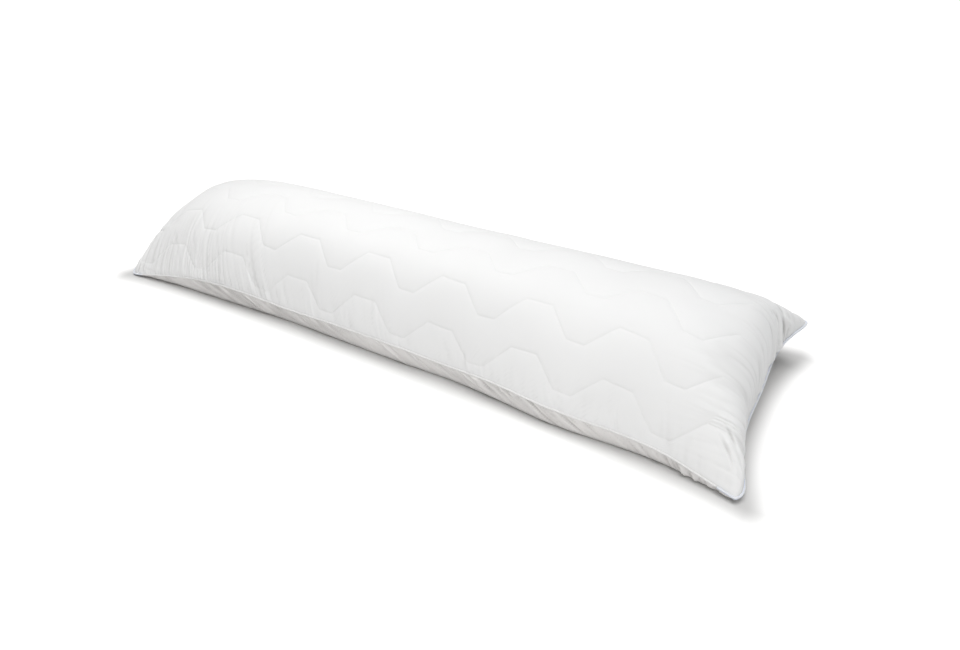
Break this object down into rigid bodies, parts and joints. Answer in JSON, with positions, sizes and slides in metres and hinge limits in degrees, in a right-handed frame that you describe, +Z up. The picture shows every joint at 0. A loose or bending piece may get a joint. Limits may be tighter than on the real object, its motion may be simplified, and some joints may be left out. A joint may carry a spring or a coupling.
{
  "type": "support pillow",
  "caption": "Long filled cushion in white cotton, quilted in rows of flat-topped waves, with drawn-in sides, edged long seams and thin blue piping round its ends.",
  "frame": {"origin": "centre of the bounding box, at the surface that the pillow rests on", "axes": "+X along the pillow, +Y from the front long seam to the back one, +Z up from the surface"},
  "size_m": [1.298, 0.4107, 0.1964],
  "materials": {
    "cover_cotton": "white quilted cotton, matt",
    "seam_edging": "white stitched edging",
    "end_piping": "pale blue piping"
  },
  "bodies": {
    "root": {"pillow_body": "cover_cotton", "front_seam_edging": "seam_edging", "back_seam_edging": "seam_edging", "left_end_piping": "end_piping", "right_end_piping": "end_piping"}
  },
  "joints": []
}
